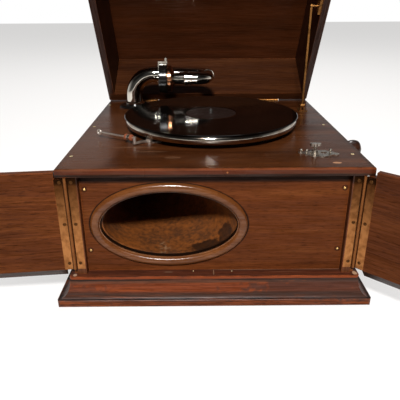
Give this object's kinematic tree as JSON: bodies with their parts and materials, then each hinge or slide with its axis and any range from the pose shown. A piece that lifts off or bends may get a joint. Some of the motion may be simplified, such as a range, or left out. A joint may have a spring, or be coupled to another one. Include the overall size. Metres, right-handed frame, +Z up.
{
  "type": "table gramophone in a cabinet",
  "caption": "Wooden table gramophone with a lid, front doors, an oval horn mouth, turntable and record, swan-neck tonearm, brake, speed regulator and winding crank.",
  "frame": {"origin": "middle of the base's underside, on the surface that the cabinet stands on", "axes": "+X to the right seen from the front, +Y towards the back, +Z up; the doors and the horn's mouth face -Y"},
  "size_m": [0.7782, 0.6964, 0.6641],
  "materials": {
    "walnut": "dark red-brown stained and varnished hardwood, worn at the edges",
    "brown_panel": "mid brown stained wood with fine level grain",
    "aged_brass": "aged brass, dull and spotted",
    "nickel": "nickel plate, lightly worn",
    "dark_steel": "oiled steel",
    "black_enamel": "black enamel",
    "shellac": "glossy black shellac with fine grooves",
    "label_paper": "plain dark paper disc",
    "mica": "pale mica sheet",
    "pad_leather": "red-brown leather"
  },
  "bodies": {
    "cabinet": {"plinth": "walnut", "bottom_board": "brown_panel", "sill": "walnut", "left_side": "walnut", "right_side": "walnut", "back_board": "brown_panel", "left_post": "walnut", "right_post": "walnut", "front_panel": "brown_panel", "mouth_ring": "walnut", "horn": "brown_panel", "deck": "walnut", "panel_pins": "aged_brass", "deck_screws": "aged_brass", "left_leaf_fixed": "aged_brass", "right_leaf_fixed": "aged_brass", "lid_hinge_fixed": "aged_brass", "stay_bracket": "aged_brass", "motor_top_plate": "dark_steel", "motor_bottom_plate": "dark_steel", "motor_pillars": "dark_steel", "crank_bush": "aged_brass", "tonearm_base": "black_enamel", "brake_plate": "nickel", "speed_plate": "nickel"},
    "lid": {"lid_front": "walnut", "lid_back_wall": "walnut", "lid_left_wall": "walnut", "lid_right_wall": "walnut", "lid_top": "walnut", "lid_hinge_moving": "aged_brass", "stay_rail": "aged_brass"},
    "stay": {"stay_rod": "aged_brass"},
    "door_left": {"left_door": "brown_panel", "left_leaf_moving": "aged_brass", "left_pull": "walnut"},
    "door_right": {"right_door": "brown_panel", "right_leaf_moving": "aged_brass", "right_pull": "walnut"},
    "turntable": {"platter": "nickel", "record": "shellac", "record_label": "label_paper", "spindle": "dark_steel", "drive_wheels": "aged_brass"},
    "barrel": {"spring_barrel": "dark_steel"},
    "governor_spinner": {"governor": "aged_brass"},
    "crank_handle": {"crank": "dark_steel"},
    "grip": {"crank_grip": "walnut"},
    "arbor": {"winding_arbor": "dark_steel"},
    "arm": {"tonearm": "nickel"},
    "crook_and_box": {"crook": "nickel", "soundbox_case": "black_enamel", "soundbox_rim": "aged_brass", "diaphragm": "mica", "needle_bar": "nickel"},
    "brake": {"brake_lever": "nickel", "brake_pad": "pad_leather"},
    "regulator": {"speed_nut": "nickel"}
  },
  "joints": [
    {"name": "lid_hinge", "type": "hinge", "parent": "cabinet", "child": "lid", "pos_m": [0, 0.2353, 0.2154], "axis": [1, 0, 0], "range_deg": [0, 58]},
    {"name": "stay_foot", "type": "hinge", "parent": "cabinet", "child": "stay", "pos_m": [0.19, 0.1357, 0.224], "axis": [1, 0, 0], "range_deg": [0, 88]},
    {"name": "left_door_hinge", "type": "hinge", "parent": "cabinet", "child": "door_left", "pos_m": [-0.2065, -0.21705, 0.125], "axis": [0, 0, 1], "range_deg": [-3, 174]},
    {"name": "right_door_hinge", "type": "hinge", "parent": "cabinet", "child": "door_right", "pos_m": [0.2065, -0.21705, 0.125], "axis": [0, 0, 1], "range_deg": [-137, 40]},
    {"name": "platter_spin", "type": "hinge", "parent": "cabinet", "child": "turntable", "pos_m": [0, 0.0087, 0.23], "axis": [0, 0, 1], "continuous": true},
    {"name": "barrel_spin", "type": "hinge", "parent": "cabinet", "child": "barrel", "pos_m": [0.06, 0.0087, 0.16], "axis": [0, 0, 1], "continuous": true},
    {"name": "governor_spin", "type": "hinge", "parent": "cabinet", "child": "governor_spinner", "pos_m": [-0.0288, 0.0087, 0.16], "axis": [0, 0, 1], "continuous": true},
    {"name": "crank_turn", "type": "hinge", "parent": "cabinet", "child": "crank_handle", "pos_m": [0.209, 0.0087, 0.10375], "axis": [1, 0, 0], "continuous": true},
    {"name": "grip_spin", "type": "hinge", "parent": "crank_handle", "child": "grip", "pos_m": [0.24, -0.0092, 0.17555], "axis": [1, 0, 0], "continuous": true},
    {"name": "arbor_wind", "type": "hinge", "parent": "cabinet", "child": "arbor", "pos_m": [0.06, 0.0087, 0.117], "axis": [0, 0, 1], "continuous": true},
    {"name": "tonearm_swing", "type": "hinge", "parent": "cabinet", "child": "arm", "pos_m": [-0.156, 0.1807, 0.23], "axis": [0, 0, 1], "range_deg": [-24, 3]},
    {"name": "crook_throw", "type": "hinge", "parent": "arm", "child": "crook_and_box", "pos_m": [-0.0025, 0.1537, 0.281], "axis": [0, 1, 0], "range_deg": [0, 180]},
    {"name": "brake_pivot", "type": "hinge", "parent": "cabinet", "child": "brake", "pos_m": [-0.101, -0.0883, 0.219], "axis": [0, 0, 1], "range_deg": [-38, 4]},
    {"name": "speed_turn", "type": "hinge", "parent": "cabinet", "child": "regulator", "pos_m": [0.149, -0.1563, 0.225], "axis": [0, 0, 1], "range_deg": [-150, 150]}
  ],
  "couplings": [
    {"joint": "stay_foot", "follows": "lid_hinge", "ratio": 1.5103},
    {"joint": "barrel_spin", "follows": "platter_spin", "ratio": -0.16667},
    {"joint": "governor_spin", "follows": "platter_spin", "ratio": -5},
    {"joint": "arbor_wind", "follows": "crank_turn", "ratio": -0.25}
  ]
}
